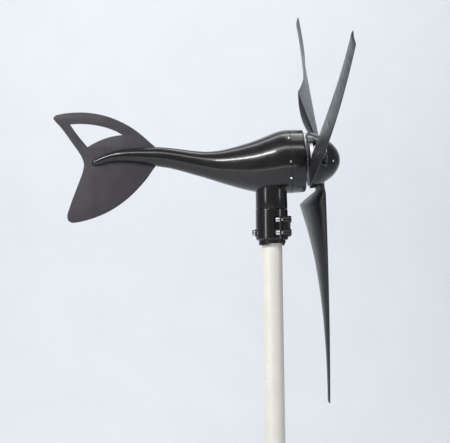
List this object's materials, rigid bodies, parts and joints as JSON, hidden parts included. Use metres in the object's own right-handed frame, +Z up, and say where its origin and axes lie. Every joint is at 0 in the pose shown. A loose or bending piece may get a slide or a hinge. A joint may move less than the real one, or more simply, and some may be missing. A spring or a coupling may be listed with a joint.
{
  "type": "small wind turbine",
  "caption": "Upwind three-blade micro wind turbine with boom and tail fin, direct-drive generator, and a split clamp that lets the head yaw on a pipe mast.",
  "frame": {"origin": "on the yaw axis at the mouth of the mast clamp, where the mast pipe enters", "axes": "+Z up along the yaw axis, +X towards the nose of the rotor, +Y to the left of the machine seen from behind looking forward"},
  "size_m": [0.6918, 1.0581, 1.0714],
  "materials": {
    "black_gloss_paint": "high gloss paint over an aluminium casting, slight orange peel",
    "black_gloss_plastic": "polished moulding",
    "black_nylon": "satin glass-filled moulding",
    "charcoal_satin": "satin powder coat on sheet",
    "machined_aluminium": "turned, fine circular tool marks",
    "zinc_steel": "zinc plated",
    "ground_steel": "ground",
    "bearing_steel": "polished",
    "bearing_cage": "pressed",
    "electrical_steel": "stacked laminations",
    "copper": "enamelled wire",
    "magnet_nickel": "nickel plated",
    "ring_brass": "turned",
    "insulator": "moulded",
    "carbon": "pressed carbon",
    "black_rubber": "matt"
  },
  "bodies": {
    "mast_adapter": {"mast_sleeve": "black_gloss_paint", "clamp_bolts": "zinc_steel", "clamp_washers": "zinc_steel", "mast_lock_bolt": "zinc_steel", "mast_lock_washer": "zinc_steel", "yaw_shaft": "ground_steel", "yaw_race_spacer": "ground_steel", "yaw_circlip": "zinc_steel", "slip_ring_insulator": "insulator", "slip_rings": "ring_brass", "cable_grommet": "black_rubber", "yaw_lower_inner_race": "bearing_steel", "yaw_upper_inner_race": "bearing_steel"},
    "nacelle": {"brush_holder": "insulator", "brushes": "carbon", "carrier_screws": "zinc_steel", "cover_gasket": "black_rubber", "cover_screws": "zinc_steel", "fin_screws": "zinc_steel", "front_cover": "black_gloss_paint", "gen_front_outer_race": "bearing_steel", "gen_rear_outer_race": "bearing_steel", "nacelle_shell": "black_gloss_paint", "rear_bearing_carrier": "machined_aluminium", "rectifiers": "insulator", "shaft_seal": "black_rubber", "stator_core": "electrical_steel", "stator_windings": "copper", "tail_fin": "charcoal_satin", "yaw_lower_outer_race": "bearing_steel", "yaw_seal": "black_rubber", "yaw_upper_outer_race": "bearing_steel"},
    "rotor": {"rotor_shaft": "ground_steel", "rotor_key": "ground_steel", "magnet_rotor": "ground_steel", "rotor_magnets": "magnet_nickel", "gen_front_inner_race": "bearing_steel", "gen_rear_inner_race": "bearing_steel", "hub_plate": "machined_aluminium", "blade_near": "black_nylon", "blade_far": "black_nylon", "blade_lower": "black_nylon", "blade_bolts": "zinc_steel", "blade_washers": "zinc_steel", "spinner_backplate": "machined_aluminium", "hub_washer": "zinc_steel", "hub_nut": "zinc_steel", "spinner": "black_gloss_plastic", "spinner_screws": "zinc_steel"},
    "yaw_ball_sets": {"yaw_lower_balls": "bearing_steel", "yaw_lower_cage": "bearing_cage", "yaw_upper_balls": "bearing_steel", "yaw_upper_cage": "bearing_cage"},
    "generator_ball_sets": {"gen_front_balls": "bearing_steel", "gen_front_cage": "bearing_cage", "gen_rear_balls": "bearing_steel", "gen_rear_cage": "bearing_cage"}
  },
  "joints": [
    {"name": "yaw", "type": "hinge", "parent": "mast_adapter", "child": "nacelle", "pos_m": [0, 0, 0.12], "axis": [0, 0, 1], "continuous": true},
    {"name": "rotor_spin", "type": "hinge", "parent": "nacelle", "child": "rotor", "pos_m": [0.1, 0, 0.204], "axis": [0.9992, 0, 0.0402], "continuous": true},
    {"name": "yaw_ball_roll", "type": "hinge", "parent": "mast_adapter", "child": "yaw_ball_sets", "pos_m": [0, 0, 0.12], "axis": [0, 0, 1], "continuous": true},
    {"name": "generator_ball_roll", "type": "hinge", "parent": "nacelle", "child": "generator_ball_sets", "pos_m": [0.1, 0, 0.204], "axis": [0.9992, 0, 0.0402], "continuous": true}
  ],
  "couplings": [
    {"joint": "yaw_ball_roll", "follows": "yaw", "ratio": 0.6013},
    {"joint": "generator_ball_roll", "follows": "rotor_spin", "ratio": 0.3842}
  ]
}
